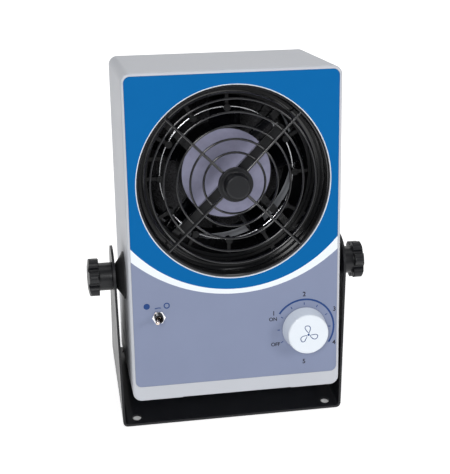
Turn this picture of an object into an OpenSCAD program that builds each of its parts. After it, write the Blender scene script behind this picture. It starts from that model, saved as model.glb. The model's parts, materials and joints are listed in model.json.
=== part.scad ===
// Desktop ionizing blower on a tilting U bracket.
// Origin: middle of the footprint of the four pads, on the bench. +X right, +Y to the back, +Z up.
// Everything inside in_housing() is drawn square to the housing: y = 0 is its front face,
// z = 0 its underside and x = 0 its middle. in_housing() then leans it back on its pivot.

/* [Housing] */
// Width of the housing
body_w = 144; // [136:1:160]
// Height of the housing
body_h = 223; // [215:1:245]
// Depth of the moulded shell, without the rear cover
shell_d = 94; // [90:1:120]
// Wall thickness of the shell
wall = 2.5; // [2:0.1:3.5]
// Radius of the four long edges
edge_r = 6; // [4:0.5:9]
// Radius round the front face
face_r = 1.7; // [1:0.1:2.5]
// Thickness of the rear cover
cover_t = 2; // [1.6:0.1:3]

/* [Front panel] */
// Border between the housing edge and the graphic sheet
sheet_border = 1.9; // [1.8:0.1:4]
// Height of the plain strip below the graphic sheet
chin_h = 10.5; // [6:0.5:14]
// Thickness of the graphic sheet
sheet_t = 0.4; // [0.3:0.05:0.8]
// Corner radius of the graphic sheet
sheet_r = 4.2; // [2:0.2:6]
// Width of the shallow relief in the lower front edge
relief_w = 76; // [40:1:100]

/* [Air outlet] */
// Radius of the round outlet in the front face
outlet_r = 64.4; // [63:0.1:66]
// Gap above the outlet, to the top of the housing
outlet_top = 9.7; // [9:0.1:12]
// Number of rings in the guard
guard_rings = 5; // [4:1:7]
// Radius of the ring wire
ring_wire_r = 0.75; // [0.5:0.05:1]
// Radius of the spoke wire
spoke_wire_r = 0.95; // [0.7:0.05:1.3]
// How far the guard swells forward at its middle
guard_rise = 3.4; // [1:0.2:6]

/* [Emitters] */
// Number of emitter pins
pin_count = 12; // [6:1:16]
// Radius of the circle of pins
pin_circle_r = 46; // [40:0.5:48]
// Depth of the steel bus ring behind the front face
bus_depth = 30; // [28:0.5:32]
// Length of a pin in front of the bus ring
pin_len = 10; // [8:0.5:12]
// Angle at which the cleaning brushes are parked
brush_park = 45; // [45:30:135]

/* [Fan] */
// Side of the square fan frame
fan_side = 119; // [119:0.5:120]
// Depth of the fan frame
fan_d = 38; // [36:1:40]
// Pitch of the fan mounting holes
fan_pitch = 105; // [105:0.5:105]
// Throat radius of the fan
throat_r = 57.5; // [56:0.5:57.5]
// Radius of the rotor cup
rotor_r = 30; // [28:0.5:32]
// Number of blades
blade_count = 5; // [4:1:7]
// Running gap between the blade tips and the throat
tip_gap = 0.9; // [0.6:0.1:2]

/* [Speed control] */
// Distance from the housing middle to the speed knob
speed_x = 47; // [42:1:50]
// Height of the speed knob
speed_z = 44; // [40:1:48]
// Radius of the knob at the panel
speed_knob_r = 15.3; // [13:0.1:17]
// Radius of the knob at its face
speed_face_r = 14; // [11:0.1:15]
// Height of the knob
speed_knob_h = 12; // [10:0.5:15]

/* [Ionizer switch] */
// Distance from the housing middle to the toggle switch
toggle_x = 53; // [45:1:55]
// Height of the toggle switch
toggle_z = 60.5; // [56:0.5:64]
// Length of the toggle lever from its pivot
lever_len = 10.5; // [9:0.5:14]
// Throw of the lever to each side
lever_throw = 12; // [8:1:14]

/* [Bracket] */
// Gap between the housing and the outside of the bracket's foot, each side
side_gap = 6.7; // [6.5:0.1:11]
// Depth of the base
base_d = 91; // [80:1:110]
// Sheet thickness
sheet_steel = 1.6; // [1.2:0.1:2]
// Outer radius of the two bends
bend_r = 3.4; // [3:0.1:5]
// Outward lean of each arm
splay = 1.1; // [1:0.1:2]
// Radius of the round arm ends
arm_r = 21.2; // [18:0.2:24]
// Gap between the base and the housing's rear edge
floor_gap = 3.1; // [2.5:0.1:14]
// Pivot depth behind the front face
pivot_y = 35.7; // [33:0.1:38]
// Pivot height above the underside of the housing
pivot_z = 79.7; // [76:0.1:80]
// How far the housing leans back
lean = 15; // [0:1:17]
// Radius of the four bench mounting holes
bench_hole_r = 3.2; // [2.2:0.1:3.4]
// Distance between the mounting holes, side to side
bench_px = 137; // [120:1:138]
// Distance between the mounting holes, front to back
bench_py = 76.6; // [56:0.2:78]
// Thickness of the stick-on pads
pad_t = 1.5; // [1:0.1:3]
// Radius of a pad
pad_r = 7; // [5:0.5:8]

/* [Clamp knobs] */
// Radius over the lobes
lobe_tip_r = 14; // [12:0.5:17]
// Number of lobes
lobe_count = 6; // [5:1:8]
// Thickness of the knob head
head_t = 8; // [6:0.5:12]
// Radius of the hub behind the head
hub_r = 9.6; // [8:0.2:10.4]
// Length of the hub
hub_t = 9; // [6:0.5:12]
// Radius of the clamp stud
stud_r = 2.95; // [2.4:0.05:3.4]
// Radius of the cone against the housing
cone_r = 16.4; // [12:0.2:18]
// Radius of the cone against the arm
cone_tip_r = 7.9; // [6:0.1:9]

/* [Mains inlet] */
// Distance from the housing middle to the inlet
inlet_x = 32; // [28:1:38]
// Height of the inlet
inlet_z = 34; // [28:1:42]

/* [Hidden] */

$fn = 64;

// Small clearances
slip = 0.1;       // between pieces that drop into each other
run = 0.04;       // radial, between a shaft and its bore
seat = 0.25;      // between the leaning arms and what is clamped on them
lap = 0.03;       // overlap that joins a bend to its flats

// Front panel
sheet_w = body_w - 2 * sheet_border;
sheet_h = body_h - chin_h - sheet_border;
sheet_mid = chin_h + sheet_h / 2;
relief_depth = 0.8;
relief_len = 6;

// Outlet, guard and duct
fan_z = body_h - outlet_top - outlet_r;
ring_pitch = 8.7 * 5 / guard_rings;
first_ring_r = 20.5;
last_ring_r = first_ring_r + 4 * 8.7;
ring_step = (last_ring_r - first_ring_r) / (guard_rings - 1);
collar_t = 1.5;
collar_front = 0.5;
collar_r = outlet_r - 0.2;
bush_r = 7.5;
bush_t = 3.2;
duct_flange_t = 2.4;
duct_flange_r = outlet_r + 3.8;
duct_step = 8.5;
duct_wall = 1.8;

// Guard spokes are straight, from the collar to the bush
spoke_out_r = collar_r - collar_t / 2;
spoke_out_y = 1.9;
spoke_in_y = spoke_out_y - guard_rise;
function spoke_y(r) = spoke_in_y + (r - bush_r) / (spoke_out_r - bush_r) * guard_rise;
weld = 0.35;
bush_y = spoke_in_y - spoke_wire_r;

// Emitters and cleaner
bus_wire_r = 0.6;
pin_r = 0.5;
pin_point = 3;
carrier_t = 6;
carrier_y = bus_depth - bus_wire_r - carrier_t;
pin_tip_y = bus_depth - pin_len;
eye_r = 2.4;
carrier_r = throat_r - slip;
carrier_lip_t = 1.2;
cleaner_shaft_r = 2;
skirt_r = 11.6;
skirt_t = 1.8;
button_r = 8.2;
cleaner_knob_h = 10;
cleaner_gap = 0.3;
cleaner_back_y = bush_y - cleaner_gap;
cleaner_front_y = cleaner_back_y - cleaner_knob_h;
brush_arm_t = 3;
brush_arm_w = 7;
brush_hub_r = 5;
brush_gap = 0.4;
bristle_len = 6;
brush_arm_y = pin_tip_y - brush_gap - bristle_len - brush_arm_t;
brush_r = 2.6;

// Fan
fan_y = bus_depth + 1.4;
flange_t = 4;
fan_hole_r = 2.15;
fan_corner_r = 5;
strut_w = 5;
strut_t = 4.5;
strut_count = 4;
hub_plate_t = 3;
hub_plate_r = rotor_r + 1.5;
label_r = hub_plate_r - 0.8;
label_t = 0.2;
bearing_r = 4.5;
bearing_t = 4;
shaft_r = 2;
tube_r = 6.4;
rotor_gap = 2;
rotor_front_y = fan_y + strut_t + rotor_gap;
rotor_back_y = fan_y + fan_d - 1.5;
rotor_wall = 1.8;
boss_r = 4;
boss_x = fan_pitch / 2;
fan_screw_r = 1.95;
fan_screw_bite = 10;

// Rear cover and filter
cover_y = shell_d;
corner_boss_r = 4;
corner_boss_inset = wall + corner_boss_r - 0.5;
corner_boss_len = 20;
cover_screw_r = 1.45;
intake_r = 57;
slot_ring_w = 4.2;
slot_rings = 6;
slot_ring_pitch = 8.6;
slot_bridge_w = 4;
filter_r = 58.5;
filter_t = 5;
rim_t = 1.6;
retainer_t = 1.6;

// Speed control
speed_gap = 0.6;
speed_shaft_r = 3;
speed_bush_r = 4.6;
speed_body_r = 13;
speed_body_d = 15;
speed_nut_af = 13;
nut_t = 2.2;
speed_cavity_r = 10.5;

// Toggle switch
toggle_bush_r = 2.95;
toggle_bush_h = 5.2;
toggle_nut_af = 8;
toggle_bore_r = 2.2;
toggle_pivot_y = -2.6;
toggle_body = [13, 9.5, 8];
lever_ball_r = 1.9;

// Boards and high-voltage module
board_w = 84;
board_h = 54;
board_t = 1.6;
board_y = 31;
board_x = 0;
board_z = 39;
post_r = 3;
board_screw_r = 1.4;
transformer = [24, 17, 22];
relay = [12, 9, 16];
chip = [18, 5, 4];
capacitor_r = 3.6;
capacitor_h = 12;
module_size = [58, 32, 27];
module_x = -26;
module_y = 67;
module_post_h = 3;
module_ear = 7;
module_screw_r = 1.45;
module_ear_t = 2.4;
small_head_r = 2.8;
small_head_t = 1.7;
board_screw_bite = 6;
cover_screw_bite = 10;

// Mains inlet, square to the rear cover
inlet_flange = [50, 2.6, 31];
inlet_body = [27.4, 24, 27.4];
plug_well = [24.4, 16, 16.4];
well_rise = 4.2;
well_chamfer = 4.6;
blade = [2, 11, 4];
pin_offset = 7;
earth_rise = 4;
inlet_screw_pitch = 40;
inlet_screw_r = 1.45;
drawer = [22, 18, 6.2];
drawer_drop = 9;
drawer_lip = 1.4;
inlet_y = cover_y + cover_t;

// Bracket
base_z = pad_t;
base_w = body_w + 2 * side_gap;
rear_edge_drop = (shell_d + cover_t - pivot_y) * sin(lean) + pivot_z * cos(lean);
pivot_h = rear_edge_drop + sheet_steel + floor_gap;
pivot_world_z = base_z + pivot_h;
arm_top = pivot_h + arm_r + 4;
arm_outer_x = base_w / 2 - bend_r + (bend_r + (pivot_h - bend_r) * sin(splay)) / cos(splay);
arm_inner_x = arm_outer_x - sheet_steel / cos(splay);
stud_hole_r = stud_r + 0.35;
insert_r = 4.2;
insert_len = 10;
pivot_boss_r = 7;
pivot_boss_len = 9;

// ---------- helpers ----------

// Leans what is drawn square to the housing back on the pivot.
module in_housing() {
    translate([0, 0, pivot_world_z]) rotate([-lean, 0, 0]) translate([0, -pivot_y, -pivot_z]) children();
}

// Extrudes an outline drawn in (x, z) from depth y0 to depth y1.
module slab(y0, y1) {
    translate([0, y1, 0]) rotate([90, 0, 0]) linear_extrude(y1 - y0) children();
}

// Turns a profile drawn as (radius, depth) about the fan axis.
module turned_on_fan() {
    translate([0, 0, fan_z]) rotate([-90, 0, 0]) rotate_extrude($fn = 128) children();
}

// Turns a profile drawn as (radius, depth) about an axis through (x, z).
module turned_at(x, z) {
    translate([x, 0, z]) rotate([-90, 0, 0]) rotate_extrude() children();
}

// A ring or disc on an axis through (x, z), from depth y0 to y1.
module disc_at(x, z, y0, y1, r) {
    translate([x, y0, z]) rotate([-90, 0, 0]) cylinder(h = y1 - y0, r = r);
}

// Copies around the fan axis.
module around_fan(count, start = 0) {
    for (i = [0 : count - 1])
        translate([0, 0, fan_z]) rotate([0, -(start + i * 360 / count), 0]) children();
}

// Rounded rectangle made of squares and circles, centred.
module round_rect(w, h, r) {
    square([w - 2 * r, h], center = true);
    square([w, h - 2 * r], center = true);
    for (sx = [-1, 1], sy = [-1, 1])
        translate([sx * (w / 2 - r), sy * (h / 2 - r)]) circle(r);
}

// Hexagon across flats.
module hexagon(af) {
    circle(d = af / cos(30), $fn = 6);
}

module screw(r, head_r, head_t, length) {
    // A pan-head screw along +Z, with its head below z = 0.
    translate([0, 0, -head_t]) cylinder(h = head_t, r1 = head_r - 0.5, r2 = head_r);
    cylinder(h = length, r = r);
}

// ---------- bracket ----------

// Half of the bent sheet, seen from the front.
module bracket_half_profile() {
    centre = [base_w / 2 - bend_r, bend_r];
    square([centre[0] + lap, sheet_steel]);
    translate(centre) {
        intersection() {
            difference() {
                circle(bend_r);
                circle(bend_r - sheet_steel);
            }
            polygon([[0, 0], [0, -2 * bend_r], [2 * bend_r, -2 * bend_r],
                [2 * bend_r * cos(splay), -2 * bend_r * sin(splay)]]);
        }
        rotate(-splay) translate([bend_r - sheet_steel, -lap]) square([sheet_steel, arm_top]);
    }
}

// Side view of the arms: the full base narrows to a round end about the pivot.
module arm_outline() {
    reach = sqrt(pow(base_d / 2, 2) + pow(pivot_h, 2));
    tangent = atan2(pivot_h, base_d / 2) - acos(arm_r / reach);
    touch = [arm_r * cos(tangent), pivot_h - arm_r * sin(tangent)];
    translate([0, pivot_h]) circle(arm_r, $fn = 128);
    polygon([[-base_d / 2, 0], [base_d / 2, 0], touch, [0, pivot_h], [-touch[0], touch[1]]]);
}

module bracket() {
    color("#0f1014") translate([0, 0, base_z]) difference() {
        intersection() {
            translate([0, base_d / 2, 0]) rotate([90, 0, 0]) linear_extrude(base_d) {
                bracket_half_profile();
                mirror([1, 0]) bracket_half_profile();
            }
            translate([-base_w, 0, 0]) rotate([90, 0, 90]) linear_extrude(2 * base_w) arm_outline();
        }
        translate([-base_w, 0, pivot_h]) rotate([0, 90, 0]) cylinder(h = 2 * base_w, r = stud_hole_r);
        for (sx = [-1, 1], sy = [-1, 1])
            translate([sx * bench_px / 2, sy * bench_py / 2, -1]) cylinder(h = sheet_steel + 2, r = bench_hole_r);
    }
}

module bench_pads() {
    pad_x = bench_px / 2 - bench_hole_r - pad_r - 2;
    pad_y = base_d / 2 - pad_r - 3;
    color("#1c1c1e") for (sx = [-1, 1], sy = [-1, 1])
        translate([sx * pad_x, sy * pad_y, 0]) cylinder(h = pad_t, r = pad_r);
}

// ---------- clamp knobs, studs and cones on the pivot ----------

// Draws along +X from the pivot, then on one side or the other.
module on_pivot(side) {
    translate([0, 0, pivot_world_z]) mirror([side < 0 ? 1 : 0, 0, 0]) rotate([90, 0, 90]) children();
}

module clamp_knob(side) {
    lobe_r = 4.3;
    start = arm_outer_x + seat;
    color("#101114") on_pivot(side) translate([0, 0, start]) difference() {
        union() {
            cylinder(h = hub_t + 1, r = hub_r);
            intersection() {
                translate([0, 0, hub_t]) linear_extrude(head_t) {
                    circle(lobe_tip_r - lobe_r);
                    for (i = [0 : lobe_count - 1])
                        rotate(90 + i * 360 / lobe_count) translate([lobe_tip_r - lobe_r, 0]) circle(lobe_r);
                }
                rotate_extrude() polygon([
                    [0, hub_t - 1], [lobe_tip_r - 1, hub_t - 1], [lobe_tip_r + 0.1, hub_t + 1],
                    [lobe_tip_r + 0.1, hub_t + head_t - 3.4],
                    for (a = [0 : 15 : 90])
                        [lobe_tip_r - 2.1 + 2.2 * cos(a), hub_t + head_t - 3.4 + 2.2 * sin(a)],
                    [lobe_tip_r - 6, hub_t + head_t - 0.4], [0, hub_t + head_t]
                ]);
            }
        }
        translate([0, 0, -1]) cylinder(h = hub_t + 4, r = stud_r);
    }
}

module left_clamp_knob() { clamp_knob(-1); }
module right_clamp_knob() { clamp_knob(1); }

module clamp_stud(side) {
    start = body_w / 2 - insert_len + 1;
    color("#c9ccd0") on_pivot(side) translate([0, 0, start])
        cylinder(h = arm_outer_x + seat + hub_t + 3 - start, r = stud_r);
}

module left_clamp_stud() { clamp_stud(-1); }
module right_clamp_stud() { clamp_stud(1); }

// Rubber cone between the housing wall and the arm; it widens towards the housing in a shallow curve.
module pivot_cone(side) {
    length = arm_inner_x - seat - body_w / 2;
    color("#191a1d") on_pivot(side) translate([0, 0, body_w / 2]) difference() {
        rotate_extrude() polygon([
            [0, 0], [cone_r, 0],
            for (t = [0 : 0.1 : 1]) [cone_r + (cone_tip_r - cone_r) * pow(t, 0.75), 0.9 + (length - 0.9) * t],
            [0, length]
        ]);
        translate([0, 0, -1]) cylinder(h = length + 2, r = stud_hole_r);
    }
}

module left_pivot_cone() { pivot_cone(-1); }
module right_pivot_cone() { pivot_cone(1); }

module pivot_inserts() {
    color("#c79a4b") for (side = [-1, 1])
        on_pivot(side) translate([0, 0, body_w / 2 - insert_len]) difference() {
            cylinder(h = insert_len, r = insert_r);
            translate([0, 0, -1]) cylinder(h = insert_len + 2, r = stud_r + run);
        }
}

// ---------- housing ----------

// Block with round long edges and a round front rim, open questions of the inside left to the caller.
module housing_block() {
    inset_w = body_w - 2 * face_r;
    inset_h = body_h - 2 * face_r;
    turn_r = edge_r - face_r;
    translate([0, 0, body_h / 2]) {
        slab(face_r, shell_d) round_rect(body_w, body_h, edge_r);
        slab(0, shell_d) round_rect(inset_w, inset_h, turn_r);
        for (s = [-1, 1]) {
            translate([-body_w / 2 + edge_r, face_r, s * (body_h / 2 - face_r)]) rotate([0, 90, 0])
                cylinder(h = body_w - 2 * edge_r, r = face_r);
            translate([s * (body_w / 2 - face_r), face_r, -body_h / 2 + edge_r])
                cylinder(h = body_h - 2 * edge_r, r = face_r);
        }
        for (sx = [-1, 1], sz = [-1, 1])
            translate([sx * (body_w / 2 - edge_r), face_r, sz * (body_h / 2 - edge_r)]) rotate([90, 0, 0])
                rotate_extrude() translate([turn_r, 0]) circle(face_r);
    }
}

module corner_posts(r, y0, y1) {
    for (sx = [-1, 1], z = [corner_boss_inset, body_h - corner_boss_inset])
        disc_at(sx * (body_w / 2 - corner_boss_inset), z, y0, y1, r);
}

module fan_posts(r, y0, y1) {
    for (sx = [-1, 1], sz = [-1, 1])
        disc_at(sx * boss_x, fan_z + sz * boss_x, y0, y1, r);
}

module board_posts(r, y0, y1) {
    for (sx = [-1, 1], sz = [-1, 1])
        disc_at(board_x + sx * (board_w / 2 - 5), board_z + sz * (board_h / 2 - 5), y0, y1, r);
}

module housing_shell() {
    color("#c3c6cc") in_housing() difference() {
        union() {
            difference() {
                housing_block();
                translate([0, 0, body_h / 2]) slab(wall, shell_d + 1)
                    round_rect(body_w - 2 * wall, body_h - 2 * wall, edge_r - wall);
            }
            corner_posts(corner_boss_r, shell_d - corner_boss_len, shell_d);
            fan_posts(boss_r, wall - 0.5, fan_y);
            board_posts(post_r, wall - 0.5, board_y);
            for (s = [-1, 1])
                translate([s * (body_w / 2 - wall + 0.5), pivot_y, pivot_z]) rotate([0, s * -90, 0])
                    cylinder(h = pivot_boss_len, r = pivot_boss_r);
            for (s = [-1, 1])
                translate([module_x + s * (module_size[0] / 2 + module_ear / 2), module_y, wall - 0.5])
                    cylinder(h = module_post_h + 0.5, r = post_r);
        }
        disc_at(0, fan_z, -1, wall + 1, outlet_r);
        disc_at(speed_x, speed_z, -1, wall + 1, speed_bush_r + slip);
        disc_at(-toggle_x, toggle_z, -1, wall + 1, toggle_bush_r + slip);
        translate([0, 0, sheet_mid]) slab(-1, sheet_t) round_rect(sheet_w, sheet_h, sheet_r);
        translate([-relief_w / 2, -1, -1]) cube([relief_w, relief_len + 1, relief_depth + 1]);
        corner_posts(cover_screw_r, shell_d - 14, shell_d + 1);
        fan_posts(fan_screw_r + slip, fan_y - fan_screw_bite - 1, fan_y + 1);
        board_posts(board_screw_r, board_y - 8, board_y + 1);
        for (s = [-1, 1]) {
            translate([s * (body_w / 2 + 1), pivot_y, pivot_z]) rotate([0, s * -90, 0])
                cylinder(h = insert_len + 1 + slip, r = insert_r);
            translate([module_x + s * (module_size[0] / 2 + module_ear / 2), module_y, wall - 1.5])
                cylinder(h = module_post_h + 4, r = module_screw_r);
        }
    }
}

// The printed sheet lies in a shallow recess of the front face.
module graphic_sheet() {
    color("#0468a9") in_housing() difference() {
        translate([0, 0, sheet_mid]) slab(0, sheet_t)
            round_rect(sheet_w - 2 * slip, sheet_h - 2 * slip, sheet_r - slip);
        disc_at(0, fan_z, -1, 1, outlet_r + 0.3);
        disc_at(speed_x, speed_z, -1, 1, speed_bush_r + 0.4);
        disc_at(-toggle_x, toggle_z, -1, 1, toggle_bush_r + 0.4);
    }
}

// ---------- rear cover ----------

module intake_slots() {
    difference() {
        for (i = [1 : slot_rings]) difference() {
            circle(i * slot_ring_pitch + slot_ring_w / 2, $fn = 128);
            circle(i * slot_ring_pitch - slot_ring_w / 2, $fn = 128);
        }
        for (i = [0 : 3])
            rotate(45 * i) square([3 * intake_r, slot_bridge_w], center = true);
    }
}

module rear_cover() {
    color("#b9bcc3") in_housing() difference() {
        union() {
            translate([0, 0, body_h / 2]) slab(cover_y, cover_y + cover_t) round_rect(body_w, body_h, edge_r);
            translate([0, 0, body_h / 2]) difference() {
                slab(cover_y - 3, cover_y + 0.5)
                    round_rect(body_w - 2 * wall - 2 * slip, body_h - 2 * wall - 2 * slip, edge_r - wall);
                slab(cover_y - 4, cover_y)
                    round_rect(body_w - 4 * wall, body_h - 4 * wall, edge_r - wall);
            }
            turned_on_fan() polygon([
                [filter_r + slip, cover_y + 0.5], [filter_r + slip, cover_y - filter_t - retainer_t],
                [filter_r + rim_t, cover_y - filter_t - retainer_t], [filter_r + rim_t, cover_y + 0.5]
            ]);
        }
        translate([0, 0, fan_z]) slab(cover_y - 1, cover_y + cover_t + 1) intake_slots();
        translate([inlet_x, 0, inlet_z]) slab(cover_y - 1, cover_y + cover_t + 1)
            square([inlet_body[0] + 2 * slip, inlet_body[2] + 2 * slip], center = true);
        corner_posts(corner_boss_r + 0.3, cover_y - 4, cover_y);
        corner_posts(cover_screw_r + 0.25, cover_y - 1, cover_y + cover_t + 1);
        for (s = [-1, 1])
            disc_at(inlet_x + s * inlet_screw_pitch / 2, inlet_z, cover_y - 1, cover_y + cover_t + 1,
                inlet_screw_r);
    }
}

module cover_screws() {
    color("#8e9196") in_housing()
        for (sx = [-1, 1], z = [corner_boss_inset, body_h - corner_boss_inset])
            translate([sx * (body_w / 2 - corner_boss_inset), cover_y + cover_t, z]) rotate([90, 0, 0])
                screw(cover_screw_r, small_head_r, small_head_t, cover_t + cover_screw_bite);
}

module filter_pad() {
    color("#2b2c2e") in_housing() disc_at(0, fan_z, cover_y - filter_t, cover_y, filter_r);
}

module filter_retainer() {
    color("#17181a") in_housing() translate([0, 0, fan_z])
        slab(cover_y - filter_t - retainer_t, cover_y - filter_t) {
            difference() {
                circle(filter_r, $fn = 128);
                circle(filter_r - 4, $fn = 128);
            }
            for (a = [0, 90]) rotate(a) square([2 * filter_r - 4, 3], center = true);
        }
}

// ---------- outlet guard and duct ----------

module guard_wire_ring(r) {
    turned_on_fan() translate([r, spoke_y(r) + spoke_wire_r + ring_wire_r - weld]) circle(ring_wire_r);
}

module guard_spoke() {
    run_x = spoke_out_r - bush_r + 2;
    slope = atan2(guard_rise, spoke_out_r - bush_r);
    translate([bush_r - 2, spoke_y(bush_r - 2), 0]) rotate([0, 0, slope]) rotate([0, 90, 0])
        cylinder(h = run_x / cos(slope), r = spoke_wire_r);
}

module outlet_guard() {
    color("#16171a") in_housing() {
        turned_on_fan() polygon([
            [collar_r - collar_t, collar_front + 0.5], [collar_r - collar_t + 0.5, collar_front],
            [collar_r, collar_front], [collar_r, wall], [collar_r - collar_t, wall]
        ]);
        around_fan(4, 45) guard_spoke();
        for (i = [0 : guard_rings - 1]) guard_wire_ring(first_ring_r + i * ring_step);
        turned_on_fan() polygon([
            [cleaner_shaft_r + run, bush_y], [bush_r, bush_y], [bush_r, bush_y + bush_t],
            [cleaner_shaft_r + run, bush_y + bush_t]
        ]);
    }
}

// The black throat between the outlet and the fan steps in from the outlet to the fan's throat.
module outlet_duct() {
    inner = collar_r - collar_t;
    color("#0c0d10") in_housing() turned_on_fan() polygon([
        [inner, wall], [duct_flange_r, wall], [duct_flange_r, wall + duct_flange_t],
        [inner + duct_wall, wall + duct_flange_t], [inner + duct_wall, wall + duct_step + duct_wall],
        [throat_r + duct_wall, wall + duct_step + duct_wall + 3],
        [throat_r + duct_wall, fan_y - carrier_lip_t], [throat_r, fan_y - carrier_lip_t],
        [throat_r, wall + duct_step + 2.5],
        for (a = [0 : 22.5 : 90])
            [throat_r + 2.5 - 2.5 * cos(a), wall + duct_step + 2.5 - 2.5 * sin(a)],
        [inner - 1, wall + duct_step], [inner, wall + duct_step - 1]
    ]);
}

// ---------- emitters and their cleaner ----------

module emitter_carrier() {
    color("#141518") in_housing() difference() {
        union() {
            turned_on_fan() polygon([
                [carrier_r - 2.2, carrier_y], [carrier_r, carrier_y], [carrier_r, fan_y - carrier_lip_t],
                [throat_r + duct_wall, fan_y - carrier_lip_t], [throat_r + duct_wall, fan_y],
                [carrier_r - 2.2, fan_y]
            ]);
            around_fan(pin_count) {
                translate([pin_circle_r, carrier_y + 2, -1.2])
                    cube([carrier_r - 1 - pin_circle_r, carrier_t - 2, 2.4]);
                translate([pin_circle_r, carrier_y, 0]) rotate([-90, 0, 0])
                    cylinder(h = carrier_t, r = eye_r);
            }
        }
        around_fan(pin_count) translate([pin_circle_r, carrier_y - 1, 0]) rotate([-90, 0, 0])
            cylinder(h = carrier_t + 2, r = pin_r + 0.02);
    }
}

module emitter_pins() {
    color("#b8bcc2") in_housing() around_fan(pin_count) translate([pin_circle_r, pin_tip_y, 0])
        rotate([-90, 0, 0]) {
            cylinder(h = pin_point, r1 = 0.05, r2 = pin_r);
            translate([0, 0, pin_point])
                cylinder(h = bus_depth - bus_wire_r - pin_point - pin_tip_y, r = pin_r);
        }
}

module bus_ring() {
    color("#d6d9de") in_housing() turned_on_fan() translate([pin_circle_r, bus_depth]) circle(bus_wire_r);
}

module cleaner_knob() {
    color("#1d1f24") in_housing() difference() {
        turned_on_fan() polygon([
            [0, cleaner_back_y], [skirt_r, cleaner_back_y], [skirt_r, cleaner_back_y - skirt_t + 0.6],
            [skirt_r - 0.6, cleaner_back_y - skirt_t], [button_r + 0.8, cleaner_back_y - skirt_t],
            [button_r, cleaner_back_y - skirt_t - 0.8],
            for (a = [0 : 22.5 : 90])
                [button_r - 1.6 + 1.4 * cos(a), cleaner_front_y + 1.4 - 1.4 * sin(a)],
            [0, cleaner_front_y]
        ]);
        disc_at(0, fan_z, cleaner_front_y + 4, cleaner_back_y + 1, cleaner_shaft_r);
    }
}

module cleaner_shaft() {
    color("#c9ccd0") in_housing()
        disc_at(0, fan_z, cleaner_front_y + 4, brush_arm_y + brush_arm_t, cleaner_shaft_r);
}

module brush_arm() {
    color("#131417") in_housing() translate([0, 0, fan_z]) slab(brush_arm_y, brush_arm_y + brush_arm_t)
        rotate(brush_park) difference() {
            union() {
                circle(brush_hub_r);
                square([2 * pin_circle_r, brush_arm_w], center = true);
                for (end = [-1, 1]) translate([end * pin_circle_r, 0]) circle(brush_r + 0.8);
            }
            circle(cleaner_shaft_r);
        }
}

module cleaning_brushes() {
    color("#eef0f2") in_housing() around_fan(2, brush_park)
        translate([pin_circle_r, brush_arm_y + brush_arm_t, 0]) rotate([-90, 0, 0])
            cylinder(h = bristle_len, r1 = brush_r - 0.5, r2 = brush_r);
}

// ---------- fan ----------

module fan_flange(y) {
    translate([0, 0, fan_z]) slab(y, y + flange_t) difference() {
        round_rect(fan_side, fan_side, fan_corner_r);
        circle(throat_r, $fn = 128);
    }
}

module fan_frame() {
    wall_r = fan_side / 2;
    color("#1a1b1e") in_housing() difference() {
        union() {
            fan_flange(fan_y);
            fan_flange(fan_y + fan_d - flange_t);
            turned_on_fan() polygon([
                [throat_r, fan_y], [wall_r, fan_y], [wall_r, fan_y + fan_d], [throat_r, fan_y + fan_d]
            ]);
            disc_at(0, fan_z, fan_y, fan_y + hub_plate_t, hub_plate_r);
            disc_at(0, fan_z, fan_y, fan_y + fan_d - 8, tube_r);
            around_fan(strut_count, 20) rotate([0, -22, 0])
                translate([hub_plate_r - 9, fan_y, -strut_w / 2 + 6])
                    cube([throat_r - hub_plate_r + 9, strut_t, strut_w]);
        }
        fan_posts(fan_hole_r, fan_y - 1, fan_y + fan_d + 1);
        disc_at(0, fan_z, fan_y + hub_plate_t, fan_y + fan_d, bearing_r);
    }
}

module fan_label() {
    color("#a9abc4") in_housing() disc_at(0, fan_z, fan_y - label_t, fan_y, label_r);
}

module fan_screws() {
    color("#9a9da2") in_housing() for (sx = [-1, 1], sz = [-1, 1])
        translate([sx * boss_x, fan_y + fan_d, fan_z + sz * boss_x]) rotate([90, 0, 0])
            screw(fan_screw_r, 3.6, 2.4, fan_d + fan_screw_bite);
}

bearing_front_y = fan_y + hub_plate_t + 0.5;
bearing_rear_y = fan_y + fan_d - 8 - bearing_t;

module fan_bearings() {
    color("#cfd2d6") in_housing() for (y = [bearing_front_y, bearing_rear_y]) turned_on_fan() polygon([
        [shaft_r + run, y], [bearing_r, y], [bearing_r, y + bearing_t], [shaft_r + run, y + bearing_t]
    ]);
}

stator_y = rotor_front_y + 3;
stator_len = 18;
stator_r = rotor_r - rotor_wall - 4.2;

module fan_stator() {
    color("#a6633a") in_housing() difference() {
        union() {
            disc_at(0, fan_z, stator_y + 4, stator_y + stator_len - 4, 11);
            around_fan(4) {
                translate([9, stator_y, -6]) cube([stator_r - 13, stator_len, 12]);
                intersection() {
                    translate([0, stator_y + 3, 0]) rotate([-90, 0, 0])
                        cylinder(h = stator_len - 6, r = stator_r, $fn = 128);
                    translate([stator_r - 5, stator_y, -13]) cube([6, stator_len, 26]);
                }
            }
        }
        disc_at(0, fan_z, stator_y - 1, stator_y + stator_len + 1, tube_r);
    }
}

// One blade: a curved section carried outwards and twisted, cut to the throat.
module blade() {
    span = throat_r - tip_gap - rotor_r;
    chord = rotor_back_y - rotor_front_y;
    mid_y = (rotor_front_y + rotor_back_y) / 2;
    translate([rotor_r - 1.2, mid_y, 0]) rotate([0, 90, 0]) rotate([0, 0, 38])
        linear_extrude(span + 1.2, twist = 16, slices = 5, scale = 1.1) polygon([
            for (t = [0 : 0.125 : 1]) [4 * t * (1 - t) * 3.4 + 1.0 * sin(180 * t) - 1.7, (t - 0.5) * chord * 0.98],
            for (t = [1 : -0.125 : 0]) [4 * t * (1 - t) * 3.4 - 1.0 * sin(180 * t) - 2.1, (t - 0.5) * chord * 0.98]
        ]);
}

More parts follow.
